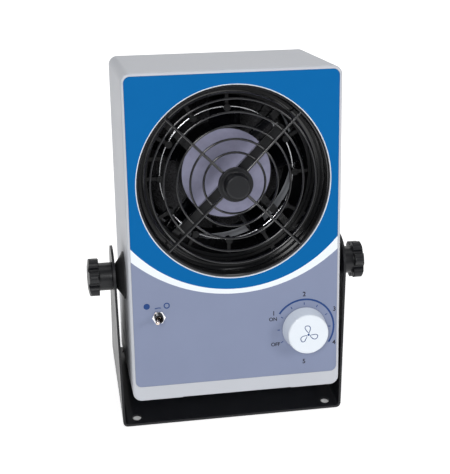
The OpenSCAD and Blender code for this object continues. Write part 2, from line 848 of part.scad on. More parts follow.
module impeller() {
    color("#202125") in_housing() {
        turned_on_fan() polygon([
            [shaft_r, rotor_back_y - 3], [shaft_r + 3, rotor_back_y - 3], [shaft_r + 3, rotor_back_y - rotor_wall],
            [rotor_r - rotor_wall, rotor_back_y - rotor_wall], [rotor_r - rotor_wall, rotor_front_y],
            [rotor_r, rotor_front_y], [rotor_r, rotor_back_y - 1.5], [rotor_r - 1.5, rotor_back_y],
            [shaft_r, rotor_back_y]
        ]);
        around_fan(blade_count, 10) blade();
    }
}

module rotor_magnet() {
    color("#4a4b50") in_housing() turned_on_fan() polygon([
        [rotor_r - rotor_wall - 2.6, stator_y], [rotor_r - rotor_wall, stator_y],
        [rotor_r - rotor_wall, stator_y + stator_len], [rotor_r - rotor_wall - 2.6, stator_y + stator_len]
    ]);
}

module rotor_shaft() {
    color("#d0d3d7") in_housing() disc_at(0, fan_z, bearing_front_y + 0.5, rotor_back_y, shaft_r);
}

// ---------- speed control ----------

module speed_knob() {
    back = -speed_gap;
    front = back - speed_knob_h;
    color("#e4ebf2") in_housing() difference() {
        turned_at(speed_x, speed_z) polygon([
            [0, back], [speed_knob_r, back],
            for (a = [0 : 15 : 90])
                [speed_face_r - 1.3 + 1.3 * cos(a), front + 1.3 - 1.3 * sin(a)],
            [0, front]
        ]);
        disc_at(speed_x, speed_z, front + 4, 1, speed_shaft_r);
        difference() {
            disc_at(speed_x, speed_z, front + 5, 1, speed_cavity_r);
            disc_at(speed_x, speed_z, front + 1, back - 5.4, speed_shaft_r + 2.2);
        }
    }
}

module speed_shaft() {
    color("#d9dbde") in_housing()
        disc_at(speed_x, speed_z, -speed_gap - speed_knob_h + 4, wall + speed_body_d - 2, speed_shaft_r);
}

module speed_switch() {
    color("#26282c") in_housing() difference() {
        union() {
            disc_at(speed_x, speed_z, wall, wall + speed_body_d, speed_body_r);
            disc_at(speed_x, speed_z, -4, wall + 1, speed_bush_r);
            for (i = [0 : 5])
                translate([speed_x, wall + speed_body_d - 1, speed_z]) rotate([0, 30 + 60 * i, 0])
                    translate([8, 0, -0.4]) cube([2.4, 6, 0.8]);
        }
        disc_at(speed_x, speed_z, -5, wall + speed_body_d - 2, speed_shaft_r + run);
    }
}

module speed_nut() {
    color("#c7cace") in_housing() difference() {
        translate([speed_x, 0, speed_z]) slab(-nut_t, 0) hexagon(speed_nut_af);
        disc_at(speed_x, speed_z, -nut_t - 1, 1, speed_bush_r);
    }
}

// ---------- ionizer toggle switch ----------

module toggle_switch() {
    color("#34363b") in_housing() difference() {
        union() {
            translate([-toggle_x - toggle_body[0] / 2, wall, toggle_z - toggle_body[2] / 2]) cube(toggle_body);
            disc_at(-toggle_x, toggle_z, -toggle_bush_h, wall + 1, toggle_bush_r);
            for (i = [-1 : 1])
                translate([-toggle_x + i * 4.7 - 0.4, wall + toggle_body[1] - 0.5, toggle_z - 1])
                    cube([0.8, 4, 2]);
        }
        disc_at(-toggle_x, toggle_z, -toggle_bush_h - 1, 0.5, toggle_bore_r);
    }
}

module toggle_nut() {
    color("#d2d4d6") in_housing() difference() {
        translate([-toggle_x, 0, toggle_z]) slab(-nut_t, 0) hexagon(toggle_nut_af);
        disc_at(-toggle_x, toggle_z, -nut_t - 1, 1, toggle_bush_r);
    }
}

// Bat lever, standing towards the filled mark on the left.
module toggle_lever() {
    color("#e3d5cb") in_housing() translate([-toggle_x, toggle_pivot_y, toggle_z]) rotate([0, 0, -lever_throw]) {
        rotate([90, 0, 0]) {
            cylinder(h = lever_len - 1.5, r1 = 1, r2 = 1.5);
            translate([0, 0, lever_len - 1.5]) sphere(1.5);
        }
        sphere(lever_ball_r);
    }
}

// ---------- electronics ----------

module control_board() {
    color("#1f6b45") in_housing() difference() {
        translate([board_x - board_w / 2, board_y, board_z - board_h / 2]) cube([board_w, board_t, board_h]);
        board_posts(board_screw_r + 0.15, board_y - 1, board_y + board_t + 1);
    }
}

// A block standing on the board, its lower left corner at (x, z) from the board's middle.
module board_block(x, z, block) {
    translate([board_x + x, board_y + board_t, board_z + z]) cube(block);
}

module board_components() {
    face = board_y + board_t;
    color("#3b4a8c") in_housing() {
        board_block(-board_w * 0.4, -board_h * 0.11, transformer);
        board_block(-board_w * 0.05, board_h * 0.04, relay);
        board_block(board_w * 0.14, -board_h * 0.26, chip);
        for (i = [0 : 2])
            disc_at(board_x + board_w * (0.19 + 0.107 * i), board_z + board_h * 0.26, face, face + capacitor_h,
                capacitor_r);
        for (i = [0 : 3])
            disc_at(board_x + board_w * (-0.33 + 0.095 * i), board_z - board_h * 0.3, face, face + relay[1] / 2,
                capacitor_r / 2);
    }
}

module board_screws() {
    color("#9a9da2") in_housing()
        for (sx = [-1, 1], sz = [-1, 1])
            translate([board_x + sx * (board_w / 2 - 5), board_y + board_t, board_z + sz * (board_h / 2 - 5)])
                rotate([90, 0, 0]) screw(board_screw_r, small_head_r, small_head_t, board_t + board_screw_bite);
}

module high_voltage_module() {
    low = wall + module_post_h;
    color("#17181b") in_housing() difference() {
        union() {
            translate([module_x - module_size[0] / 2, module_y - module_size[1] / 2, low]) cube(module_size);
            translate([module_x - module_size[0] / 2 - module_ear, module_y - 5, low])
                cube([module_size[0] + 2 * module_ear, 10, module_ear_t]);
        }
        for (s = [-1, 1])
            translate([module_x + s * (module_size[0] / 2 + module_ear / 2), module_y, low - 1])
                cylinder(h = 5, r = module_screw_r + 0.15);
    }
}

module module_screws() {
    color("#9a9da2") in_housing() for (s = [-1, 1])
        translate([module_x + s * (module_size[0] / 2 + module_ear / 2), module_y, wall + module_post_h + module_ear_t])
            rotate([180, 0, 0]) screw(module_screw_r, small_head_r, small_head_t, module_ear_t + module_post_h);
}

// ---------- mains inlet ----------

module well_outline() {
    w = plug_well[0] / 2;
    h = plug_well[2] / 2;
    polygon([[-w, -h], [w, -h], [w, h - well_chamfer], [w - well_chamfer, h],
        [-w + well_chamfer, h], [-w, h - well_chamfer]]);
}

module drawer_slot(grow) {
    translate([inlet_x - drawer[0] / 2 - grow, 0, inlet_z - drawer_drop - drawer[2] / 2 - grow])
        cube([drawer[0] + 2 * grow, inlet_y + inlet_flange[1] + 1, drawer[2] + 2 * grow]);
}

module mains_inlet() {
    mouth = inlet_y + inlet_flange[1];
    color("#15161a") in_housing() difference() {
        union() {
            translate([inlet_x, 0, inlet_z]) slab(inlet_y, mouth) round_rect(inlet_flange[0], inlet_flange[2], 3);
            translate([inlet_x, 0, inlet_z]) slab(inlet_y - inlet_body[1], inlet_y + 0.5)
                square([inlet_body[0], inlet_body[2]], center = true);
        }
        translate([inlet_x, 0, inlet_z + well_rise]) slab(mouth - plug_well[1], mouth + 1) well_outline();
        intersection() {
            drawer_slot(slip);
            translate([0, mouth - drawer[1] - drawer_lip, 0]) cube([body_w, 2 * drawer[1], body_h]);
        }
        for (s = [-1, 1])
            disc_at(inlet_x + s * inlet_screw_pitch / 2, inlet_z, inlet_y - 1, mouth + 1, inlet_screw_r + 0.15);
    }
}

module inlet_pins() {
    floor_y = inlet_y + inlet_flange[1] - plug_well[1];
    color("#c9ccd0") in_housing() for (p = [[-pin_offset, -earth_rise / 2], [pin_offset, -earth_rise / 2],
        [0, earth_rise / 2]])
        translate([inlet_x + p[0] - blade[0] / 2, floor_y, inlet_z + well_rise + p[1] - blade[2] / 2])
            cube(blade);
}

module inlet_screws() {
    color("#9a9da2") in_housing() for (s = [-1, 1])
        translate([inlet_x + s * inlet_screw_pitch / 2, inlet_y + inlet_flange[1], inlet_z]) rotate([90, 0, 0])
            screw(inlet_screw_r, small_head_r, small_head_t, inlet_flange[1] + cover_t + 2 * inlet_screw_r);
}

// Fuse drawer under the plug well, with a finger lip.
module fuse_drawer() {
    mouth = inlet_y + inlet_flange[1];
    color("#1b1c20") in_housing() {
        translate([inlet_x - drawer[0] / 2, mouth - drawer[1], inlet_z - drawer_drop - drawer[2] / 2])
            cube([drawer[0], drawer[1] + drawer_lip - 0.4, drawer[2]]);
        translate([inlet_x - 5, mouth + drawer_lip - 0.9, inlet_z - drawer_drop - drawer[2] / 2])
            cube([10, 1.2, drawer[2]]);
    }
}

bracket();
bench_pads();
left_clamp_knob();
right_clamp_knob();
left_clamp_stud();
right_clamp_stud();
left_pivot_cone();
right_pivot_cone();
pivot_inserts();
housing_shell();
rear_cover();
cover_screws();
graphic_sheet();
outlet_guard();
outlet_duct();
emitter_carrier();
emitter_pins();
bus_ring();
cleaner_knob();
cleaner_shaft();
brush_arm();
cleaning_brushes();
fan_frame();
fan_label();
fan_screws();
fan_bearings();
fan_stator();
impeller();
rotor_magnet();
rotor_shaft();
speed_knob();
speed_shaft();
speed_switch();
speed_nut();
toggle_switch();
toggle_nut();
toggle_lever();
control_board();
board_components();
board_screws();
high_voltage_module();
module_screws();
mains_inlet();
inlet_pins();
inlet_screws();
fuse_drawer();
filter_pad();
filter_retainer();
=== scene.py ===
"""Looks of the desktop ionizing blower.

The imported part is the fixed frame. Everything printed, embossed or too fine for the solids is
made here as meshes that ride on its bodies, and every surface gets a procedural material.
Housing coordinates: millimetres from the outlet's axis at the front face; x to the right,
y towards the back, z up along the front.
"""

import json
import math

import bmesh
import bpy
from mathutils import Euler, Matrix, Vector
from mathutils.geometry import delaunay_2d_cdt


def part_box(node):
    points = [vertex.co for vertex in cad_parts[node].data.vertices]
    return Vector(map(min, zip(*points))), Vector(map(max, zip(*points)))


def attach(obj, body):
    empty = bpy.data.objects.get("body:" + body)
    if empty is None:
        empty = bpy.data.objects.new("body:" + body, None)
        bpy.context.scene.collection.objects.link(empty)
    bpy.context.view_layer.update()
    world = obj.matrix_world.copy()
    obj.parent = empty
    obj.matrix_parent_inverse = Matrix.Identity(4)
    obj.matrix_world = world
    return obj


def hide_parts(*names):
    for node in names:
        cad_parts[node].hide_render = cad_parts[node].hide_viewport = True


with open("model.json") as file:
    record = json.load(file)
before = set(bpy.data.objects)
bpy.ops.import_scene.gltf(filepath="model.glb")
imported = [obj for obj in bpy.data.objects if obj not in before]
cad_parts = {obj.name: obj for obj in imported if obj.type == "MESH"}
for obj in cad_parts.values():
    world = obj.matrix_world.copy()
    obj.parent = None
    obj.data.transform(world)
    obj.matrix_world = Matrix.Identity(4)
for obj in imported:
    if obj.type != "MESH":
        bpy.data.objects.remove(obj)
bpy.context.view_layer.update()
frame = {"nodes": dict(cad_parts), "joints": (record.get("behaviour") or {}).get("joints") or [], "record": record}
JOINTS = {joint["name"]: joint for joint in frame["joints"]}
MM = 0.001

# ---------------------------------------------------------------- camera
CAMERA_AT = Vector((-0.1233, -0.6230, 0.5073))
CAMERA_TURN = Euler((math.radians(58.869), math.radians(-1.688), math.radians(-9.995)), "XYZ")
CAMERA_LENS = 86.0
CAMERA_SENSOR = 36.0


def add_camera():
    data = bpy.data.cameras.new("camera")
    data.sensor_fit = "HORIZONTAL"
    data.sensor_width = CAMERA_SENSOR
    data.lens = CAMERA_LENS
    data.clip_start = 0.01
    camera = bpy.data.objects.new("camera", data)
    camera.location = CAMERA_AT
    camera.rotation_euler = CAMERA_TURN
    bpy.context.scene.collection.objects.link(camera)
    bpy.context.scene.camera = camera


# ---------------------------------------------------------------- housing coordinates
def joint_point(name):
    return Vector(JOINTS[name]["pos_m"])


def joint_axis(name):
    return Vector(JOINTS[name]["axis"]).normalized()


ACROSS = Vector((1, 0, 0))
DEPTH = joint_axis("fan_spin")
UPWARDS = joint_axis("toggle_throw")
OUTLET = joint_point("cleaner_turn")


def housing_point(x, y, z):
    return OUTLET + (ACROSS * x + DEPTH * y + UPWARDS * z) * MM


def to_housing(point):
    away = point - OUTLET
    return Vector((away.dot(ACROSS), away.dot(DEPTH), away.dot(UPWARDS))) / MM


def housing_extent(node):
    """Lowest and highest corner of a node in housing coordinates."""
    places = [to_housing(vertex.co) for vertex in frame["nodes"][node].data.vertices]
    low = Vector([min(p[i] for p in places) for i in range(3)])
    high = Vector([max(p[i] for p in places) for i in range(3)])
    return low, high


SHEET_LOW, SHEET_HIGH = housing_extent("graphic_sheet")
SPEED = to_housing(joint_point("speed_turn"))
TOGGLE = to_housing(joint_point("toggle_throw"))


# ---------------------------------------------------------------- materials
class Shader:
    """A node material under construction."""

    def __init__(self, name):
        self.material = bpy.data.materials.new(name)
        self.material.use_nodes = True
        self.nodes = self.material.node_tree.nodes
        self.links = self.material.node_tree.links
        self.nodes.clear()
        self.out = self.nodes.new("ShaderNodeOutputMaterial")
        self.bsdf = self.nodes.new("ShaderNodeBsdfPrincipled")
        self.links.new(self.bsdf.outputs["BSDF"], self.out.inputs["Surface"])
        self.coords = self.nodes.new("ShaderNodeTexCoord").outputs["Object"]

    def set(self, **values):
        for key, value in values.items():
            self.bsdf.inputs[key.replace("_", " ")].default_value = value

    def noise(self, scale, detail=3.0, rough=0.55, stretch=None):
        node = self.nodes.new("ShaderNodeTexNoise")
        node.inputs["Scale"].default_value = scale
        node.inputs["Detail"].default_value = detail
        node.inputs["Roughness"].default_value = rough
        source = self.coords
        if stretch:
            mapping = self.nodes.new("ShaderNodeMapping")
            mapping.inputs["Scale"].default_value = stretch
            self.links.new(source, mapping.inputs["Vector"])
            source = mapping.outputs["Vector"]
        self.links.new(source, node.inputs["Vector"])
        return node.outputs["Fac"]

    def cells(self, scale):
        node = self.nodes.new("ShaderNodeTexVoronoi")
        node.inputs["Scale"].default_value = scale
        self.links.new(self.coords, node.inputs["Vector"])
        return node.outputs["Distance"]

    def remap(self, source, low, high, to_low, to_high):
        node = self.nodes.new("ShaderNodeMapRange")
        limits = {"From Min": low, "From Max": high, "To Min": to_low, "To Max": to_high}
        for key, value in limits.items():
            node.inputs[key].default_value = value
        self.links.new(source, node.inputs["Value"])
        return node.outputs["Result"]

    def math(self, kind, a, b):
        node = self.nodes.new("ShaderNodeMath")
        node.operation = kind
        for socket, value in zip(node.inputs, (a, b)):
            if isinstance(value, (int, float)):
                socket.default_value = value
            else:
                self.links.new(value, socket)
        return node.outputs[0]

    def mix(self, factor, a, b):
        node = self.nodes.new("ShaderNodeMix")
        node.data_type = "RGBA"
        for socket, value in ((node.inputs[0], factor), (node.inputs[6], a), (node.inputs[7], b)):
            if isinstance(value, (int, float, tuple)):
                socket.default_value = value
            else:
                self.links.new(value, socket)
        return node.outputs[2]

    def rounded(self, radius):
        """The normal of the surface with its edges rounded."""
        bevel = self.nodes.new("ShaderNodeBevel")
        bevel.samples = 6
        bevel.inputs["Radius"].default_value = radius
        return bevel.outputs["Normal"]

    def edges(self, radius):
        """Close to 1 on edges, 0 on flats."""
        geometry = self.nodes.new("ShaderNodeNewGeometry")
        dot = self.nodes.new("ShaderNodeVectorMath")
        dot.operation = "DOT_PRODUCT"
        self.links.new(self.rounded(radius), dot.inputs[0])
        self.links.new(geometry.outputs["Normal"], dot.inputs[1])
        return self.remap(dot.outputs["Value"], 0.995, 0.85, 0.0, 1.0)

    def bump(self, height, distance, strength=1.0, bevel=0.0):
        node = self.nodes.new("ShaderNodeBump")
        node.inputs["Strength"].default_value = strength
        node.inputs["Distance"].default_value = distance
        self.links.new(height, node.inputs["Height"])
        if bevel:
            self.links.new(self.rounded(bevel), node.inputs["Normal"])
        self.links.new(node.outputs["Normal"], self.bsdf.inputs["Normal"])

    def color(self, source):
        self.links.new(source, self.bsdf.inputs["Base Color"])

    def rough(self, source):
        self.links.new(source, self.bsdf.inputs["Roughness"])


def shade(color, factor):
    return (color[0] * factor, color[1] * factor, color[2] * factor, 1.0)


def srgb(red, green, blue):
    """The linear colour of a screen colour from 0 to 255."""
    def linear(value):
        value /= 255
        return value / 12.92 if value <= 0.04045 else ((value + 0.055) / 1.055) ** 2.4
    return (linear(red), linear(green), linear(blue))


def plastic(name, color, rough=0.4, grain=900, grain_depth=0.00002, mottle=0.06, wear=0.25,
            edge=0.0003, coat=0.0, specular=0.4):
    """Moulded or painted surface: faint mottling, fine grain, and a slightly rubbed edge."""
    s = Shader(name)
    s.set(Metallic=0.0, IOR=1.46, Coat_Weight=coat, Coat_Roughness=0.08,
          Specular_IOR_Level=specular)
    cloud = s.noise(45, 4)
    tone = s.mix(s.remap(cloud, 0.3, 0.7, 0, 1), shade(color, 1 - mottle), shade(color, 1 + mottle))
    rubbed = tuple(min(1, c * 1.25 + 0.02) for c in color) + (1.0,)
    speck = s.noise(400, 2)
    worn = s.math("MULTIPLY", s.edges(edge), s.remap(speck, 0.45, 0.7, 0.2 * wear, wear))
    s.color(s.mix(worn, tone, rubbed))
    fine = s.noise(grain, 2)
    s.rough(s.remap(s.math("ADD", fine, cloud), 0.6, 1.4, rough - 0.05, rough + 0.07))
    s.bump(fine, grain_depth, 1.0, edge)
    return s.material


def metal(name, color, rough=0.28, brush=None, edge=0.0002):
    """Bare or plated metal with fine brushing and a little staining."""
    s = Shader(name)
    s.set(Metallic=1.0)
    stain = s.noise(120, 4)
    s.color(s.mix(s.remap(stain, 0.35, 0.7, 0, 1), shade(color, 1.0), shade(color, 0.82)))
    lines = s.noise(700, 3, 0.6, brush)
    s.rough(s.remap(s.math("ADD", lines, stain), 0.6, 1.4, max(0.05, rough - 0.08), rough + 0.1))
    s.bump(lines, 0.00001, 0.6, edge)
    return s.material


def rubber(name, color):
    s = Shader(name)
    s.set(IOR=1.5, Sheen_Weight=0.08)
    dust = s.noise(60, 5)
    s.color(s.mix(s.remap(dust, 0.45, 0.75, 0, 0.5), shade(color, 1), shade(color, 2.2)))
    fine = s.noise(1500, 2)
    s.rough(s.remap(dust, 0.3, 0.7, 0.42, 0.6))
    s.bump(fine, 0.00003, 1.0, 0.0003)
    return s.material


def foam(name, color):
    s = Shader(name)
    s.set(Sheen_Weight=0.1)
    holes = s.cells(900)
    # Each pore is painted darker towards its middle: painted shade in the pores; the same cells give the bump.
    s.color(s.mix(s.remap(holes, 0.0, 0.7, 0, 1), shade(color, 0.25), shade(color, 1.6)))
    s.set(Roughness=0.95)
    s.bump(holes, 0.0008, 1.0)
    return s.material


def windings(name, color):
    s = Shader(name)
    s.set(Metallic=0.9)
    strands = s.noise(900, 2, 0.5, (1, 6, 6))
    s.color(s.mix(strands, shade(color, 0.5), shade(color, 1.3)))
    s.rough(s.remap(strands, 0.3, 0.7, 0.25, 0.45))
    s.bump(strands, 0.0002)
    return s.material


def board(name, color):
    s = Shader(name)
    tracks = s.cells(260)
    s.color(s.mix(s.remap(tracks, 0.25, 0.3, 0, 1), shade(color, 1.5), shade(color, 0.8)))
    s.rough(s.remap(s.noise(300), 0.3, 0.7, 0.3, 0.42))
    s.bump(tracks, 0.00003)
    return s.material


BLUE = srgb(0, 98, 163)
GREY_PRINT = srgb(133, 142, 168)
WHITE_PRINT_AND_HIGHLIGHT = srgb(236, 242, 248)
SHELL = srgb(192, 195, 202)
NAVY = srgb(22, 62, 122)
BLACK_INK = srgb(24, 26, 40)

MATERIALS = {
    "bracket_steel": lambda n: plastic(
        n, srgb(20, 21, 25), rough=0.36, grain=700, grain_depth=0.00004, mottle=0.12, wear=0.35,
        edge=0.0004),
    "pad_rubber": lambda n: rubber(n, (0.016, 0.016, 0.017)),
    "knob_black": lambda n: plastic(
        n, srgb(18, 19, 23), rough=0.34, grain=1100, grain_depth=0.00003, mottle=0.1, wear=0.2,
        edge=0.0004),
    "cone_rubber": lambda n: rubber(n, (0.012, 0.012, 0.014)),
    "plated_steel": lambda n: metal(n, (0.62, 0.63, 0.65), 0.3),
    "insert_brass": lambda n: metal(n, (0.70, 0.45, 0.16), 0.3),
    "shell_grey": lambda n: plastic(
        n, SHELL, rough=0.42, grain=1200, mottle=0.02, wear=0.3, edge=0.0004),
    "cover_grey": lambda n: plastic(
        n, srgb(188, 191, 198), rough=0.45, grain=1200, mottle=0.02, wear=0.3, edge=0.0004),
    "sheet_print": lambda n: plastic(
        n, BLUE, rough=0.38, grain=1500, grain_depth=0.00001, mottle=0.02, wear=0.0),
    "guard_black": lambda n: plastic(
        n, srgb(12, 13, 18), rough=0.14, grain_depth=0.000005, mottle=0.08, wear=0.15,
        edge=0.0002, coat=0.7),
    "duct_black": lambda n: plastic(
        n, srgb(6, 7, 10), rough=0.14, grain=500, grain_depth=0.000005, mottle=0.1, wear=0.1,
        coat=0.5),
    "ceramic_black": lambda n: plastic(
        n, srgb(9, 10, 13), rough=0.3, grain_depth=0.00001, mottle=0.1, wear=0.1),
    "pin_steel": lambda n: metal(n, (0.66, 0.67, 0.7), 0.2),
    "bright_steel": lambda n: metal(n, (0.78, 0.79, 0.82), 0.12),
    "bristle_white": lambda n: plastic(
        n, srgb(238, 241, 244), rough=0.6, grain=2500, grain_depth=0.0002, mottle=0.08, wear=0.0),
    "fan_black": lambda n: plastic(
        n, srgb(10, 11, 15), rough=0.18, grain=600, grain_depth=0.00001, mottle=0.1, wear=0.2,
        coat=0.4),
    "label_silver": lambda n: metal(n, (0.34, 0.34, 0.47), 0.42),
    "copper": lambda n: windings(n, (0.62, 0.24, 0.09)),
    "magnet": lambda n: plastic(n, (0.08, 0.08, 0.09), rough=0.6, grain=500, grain_depth=0.0001),
    "knob_white": lambda n: plastic(
        n, srgb(226, 233, 241), rough=0.32, grain=1500, grain_depth=0.00001, mottle=0.015,
        wear=0.2, edge=0.0004, coat=0.25),
    "switch_black": lambda n: plastic(n, srgb(28, 29, 33)),
    # The lever is chrome; its pink-orange tint is a painted reflection of skin-toned surroundings.
    "lever_metal": lambda n: metal(n, (0.80, 0.68, 0.60), 0.14),
    "board_green": lambda n: board(n, (0.02, 0.17, 0.08)),
    "component_blue": lambda n: plastic(n, (0.05, 0.08, 0.28), rough=0.35),
    "potting_black": lambda n: plastic(
        n, (0.02, 0.02, 0.024), rough=0.5, grain=300, grain_depth=0.0001),
    "inlet_black": lambda n: plastic(n, srgb(20, 21, 25), rough=0.42),
    "filter_foam": lambda n: foam(n, (0.05, 0.05, 0.055)),
    "lead_red": lambda n: rubber(n, (0.45, 0.03, 0.02)),
}


def dress_cad_nodes():
    slots = {part["node"]: part["material_slot"] for part in frame["record"]["subparts"]}
    made = {}
    for node, obj in frame["nodes"].items():
        name = slots[node]
        if name not in made:
            made[name] = MATERIALS[name](name)
        obj.data.materials.clear()
        obj.data.materials.append(made[name])


# ---------------------------------------------------------------- mesh helpers
def new_object(name, mesh, body, materials):
    obj = bpy.data.objects.new(name, mesh)
    bpy.context.scene.collection.objects.link(obj)
    for material in materials:
        mesh.materials.append(material)
    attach(obj, body)
    return obj


def circle(cx, cz, radius, count):
    turns = [2 * math.pi * i / count for i in range(count)]
    return [(cx + radius * math.cos(a), cz + radius * math.sin(a)) for a in turns]


def arc(cx, cz, radius, start, end, count):
    """Points on an arc, angles in degrees from +x, counted towards +z."""
    turns = [math.radians(start + (end - start) * i / count) for i in range(count + 1)]
    return [(cx + radius * math.cos(a), cz + radius * math.sin(a)) for a in turns]


def rounded_rectangle(low_x, low_z, high_x, high_z, radius, steps=10):
    points = []
    centres = ((high_x - radius, high_z - radius), (low_x + radius, high_z - radius),
               (low_x + radius, low_z + radius), (high_x - radius, low_z + radius))
    for quarter, (cx, cz) in enumerate(centres):
        points += arc(cx, cz, radius, 90 * quarter, 90 * quarter + 90, steps)
    return points


def inside_polygon(x, z, points):
    inside = False
    count = len(points)
    for i in range(count):
        x1, z1 = points[i]
        x2, z2 = points[(i + 1) % count]
        if (z1 > z) != (z2 > z) and x < (x2 - x1) * (z - z1) / (z2 - z1) + x1:
            inside = not inside
    return inside


def flat_print(name, outlines, level, thickness, body, materials, keep, pick=None):
    """A thin sheet cut along outlines in (x, z); its front lies at depth level.

    keep says which triangles stay and pick gives each its material, both from the
    triangle's middle."""
    points, edges = [], []
    for outline in outlines:
        first = len(points)
        points += [Vector(place) for place in outline["points"]]
        count = len(outline["points"])
        last = count if outline.get("closed", True) else count - 1
        edges += [(first + i, first + (i + 1) % count) for i in range(last)]
    flat, _, faces, _, _, _ = delaunay_2d_cdt(points, edges, [], 0, 1e-6)
    mesh = bpy.data.meshes.new(name)
    bm = bmesh.new()
    front = [bm.verts.new(housing_point(p.x, level, p.y)) for p in flat]
    back = [bm.verts.new(housing_point(p.x, level + thickness, p.y)) for p in flat]
    rim = {}
    for face in faces:
        middle = sum((flat[i] for i in face), Vector((0, 0))) / len(face)
        if not keep(middle.x, middle.y):
            continue
        index = pick(middle.x, middle.y) if pick else 0
        bm.faces.new([front[i] for i in face]).material_index = index
        bm.faces.new([back[i] for i in reversed(face)]).material_index = index
        for a, b in zip(face, list(face[1:]) + [face[0]]):
            if (b, a) in rim:
                rim.pop((b, a))
            else:
                rim[(a, b)] = index
    for (a, b), index in rim.items():
        bm.faces.new([front[b], front[a], back[a], back[b]]).material_index = index
    bmesh.ops.delete(bm, geom=[v for v in bm.verts if not v.link_faces], context="VERTS")
    bmesh.ops.recalc_face_normals(bm, faces=bm.faces)
    bm.to_mesh(mesh)
    bm.free()
    return new_object(name, mesh, body, materials)


# ---------------------------------------------------------------- front sheet
# Each arc is the lower part of a circle: middle x, middle z, radius.
BLUE_ARC = (0.0, 19.3, 91.9)
GREY_ARC = (0.0, 29.0, 104.9)
OUTLET_R = 64.7
# Out to this radius a thin white ring circles the outlet: a painted highlight of the outlet's edge, in the white
# print's material.
PAINTED_RIM_HIGHLIGHT_R = 65.05
SHEET_CORNER = 4.2
SPEED_HOLE_R = 5.0
TOGGLE_HOLE_R = 3.3
PRINT_T = 0.05
PRINT_SINK = 0.02  # how far a print on a moulded face lies in it
BLUE_INK, WHITE_INK_AND_HIGHLIGHT, GREY_INK = range(3)


def arc_across(circle_at, half_width):
    """The lower part of a circle, from side to side of the sheet."""
    cx, cz, radius = circle_at
    reach = math.degrees(math.asin((half_width + 2) / radius))
    return arc(cx, cz, radius, -90 - reach, -90 + reach, 120)


def add_front_sheet():
    low, high = SHEET_LOW, SHEET_HIGH
    half_w, half_h = (high.x - low.x) / 2, (high.z - low.z) / 2
    middle_z = (low.z + high.z) / 2
    holes = ((0, 0, OUTLET_R, 160), (SPEED.x, SPEED.z, SPEED_HOLE_R, 40),
             (TOGGLE.x, TOGGLE.z, TOGGLE_HOLE_R, 32))
    inks_and_rim_highlight = (("sheet_blue", BLUE), ("sheet_white", WHITE_PRINT_AND_HIGHLIGHT), ("sheet_grey", GREY_PRINT))
    materials = [plastic(name, color, rough=0.5, grain=1500, grain_depth=0.00001, mottle=0.015,
                         wear=0.0, specular=0.1) for name, color in inks_and_rim_highlight]

    def inside(x, z):
        corner_x = max(abs(x) - (half_w - SHEET_CORNER), 0)
        corner_z = max(abs(z - middle_z) - (half_h - SHEET_CORNER), 0)
        if math.hypot(corner_x, corner_z) > SHEET_CORNER:
            return False
        return all(math.hypot(x - cx, z - cz) > radius * 0.999 for cx, cz, radius, _ in holes)

    def ink(x, z):
        # The thin white ring round the outlet hole is a painted highlight of its edge, not print.
        if math.hypot(x, z) < PAINTED_RIM_HIGHLIGHT_R:
            return WHITE_INK_AND_HIGHLIGHT
        if z > BLUE_ARC[1] or math.hypot(x - BLUE_ARC[0], z - BLUE_ARC[1]) < BLUE_ARC[2]:
            return BLUE_INK
        in_white = math.hypot(x - GREY_ARC[0], z - GREY_ARC[1]) < GREY_ARC[2]
        return WHITE_INK_AND_HIGHLIGHT if in_white else GREY_INK

    outlines = [{"points": rounded_rectangle(low.x, low.z, high.x, high.z, SHEET_CORNER)}]
    outlines += [{"points": circle(*hole)} for hole in holes]
    outlines += [{"points": circle(0, 0, PAINTED_RIM_HIGHLIGHT_R, 160)}]
    outlines += [{"points": arc_across(line, half_w), "closed": False}
                 for line in (BLUE_ARC, GREY_ARC)]
    sheet = flat_print("front_sheet", outlines, low.y, high.y - low.y, "housing",
                       materials, inside, ink)
    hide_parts("graphic_sheet")


# ---------------------------------------------------------------- dial and switch marks
DIAL_R = 20.9
DIAL_START, DIAL_END = 146, -33.5
DIAL_LINE = 1.25
TICK_COUNT, TICK_START, TICK_STEP = 11, 210, 30
TICK_REACH = (17.0, 18.7)
TICK_HALF_W = 0.28
DIGITS = ((1, 150), (2, 90), (3, 30), (4, -30), (5, -90))
DIGIT_R = 24.6
DIGIT_H = 3.3
DIAL_WORDS = (("dial_on", "ON", 25.2, -96.8), ("dial_off", "OFF", 26.9, -115.3))
WORD_H = 2.6
CAPITAL_SHARE = 0.72  # height of a capital in the font's size
LETTER_WEIGHT = 0.08
MARK_ON, MARK_OFF = (-60.7, -80.7), (-47.3, -81.0)
MARK_R, MARK_HOLE_R = 2.1, 1.35
MARK_ARC_R, MARK_ARC_LINE = 6.2, 0.6


def ring_points(cx, cz, radius, width, start, end, count):
    outer = arc(cx, cz, radius + width / 2, start, end, count)
    return outer + arc(cx, cz, radius - width / 2, end, start, count)


def add_stroke(name, rim, material, body="housing", level=None, hole=None):
    def keep(x, z):
        return inside_polygon(x, z, rim) and not (hole and inside_polygon(x, z, hole))

    outlines = [{"points": rim}] + ([{"points": hole}] if hole else [])
    depth = SHEET_LOW.y - PRINT_T if level is None else level
    flat_print(name, outlines, depth, PRINT_T, body, [material], keep)


def add_lettering(name, text, x, z, height, material):
    """Plain lettering, made from the program's own font and laid on the sheet."""
    curve = bpy.data.curves.new(name, "FONT")
    curve.body = text
    curve.size = height * MM / CAPITAL_SHARE
    curve.align_x = "CENTER"
    curve.align_y = "CENTER"
    curve.extrude = PRINT_T * MM / 2
    curve.resolution_u = 6
    curve.offset = LETTER_WEIGHT * MM
    source = bpy.data.objects.new(name + "_source", curve)
    bpy.context.scene.collection.objects.link(source)
    graph = bpy.context.evaluated_depsgraph_get()
    mesh = bpy.data.meshes.new_from_object(source.evaluated_get(graph))
    bpy.data.objects.remove(source)
    mesh.name = name
    turn = Matrix((ACROSS, UPWARDS, -DEPTH)).transposed().to_4x4()
    mesh.transform(Matrix.Translation(housing_point(x, SHEET_LOW.y - PRINT_T / 2, z)) @ turn)
    mesh.materials.clear()
    new_object(name, mesh, "housing", [material])


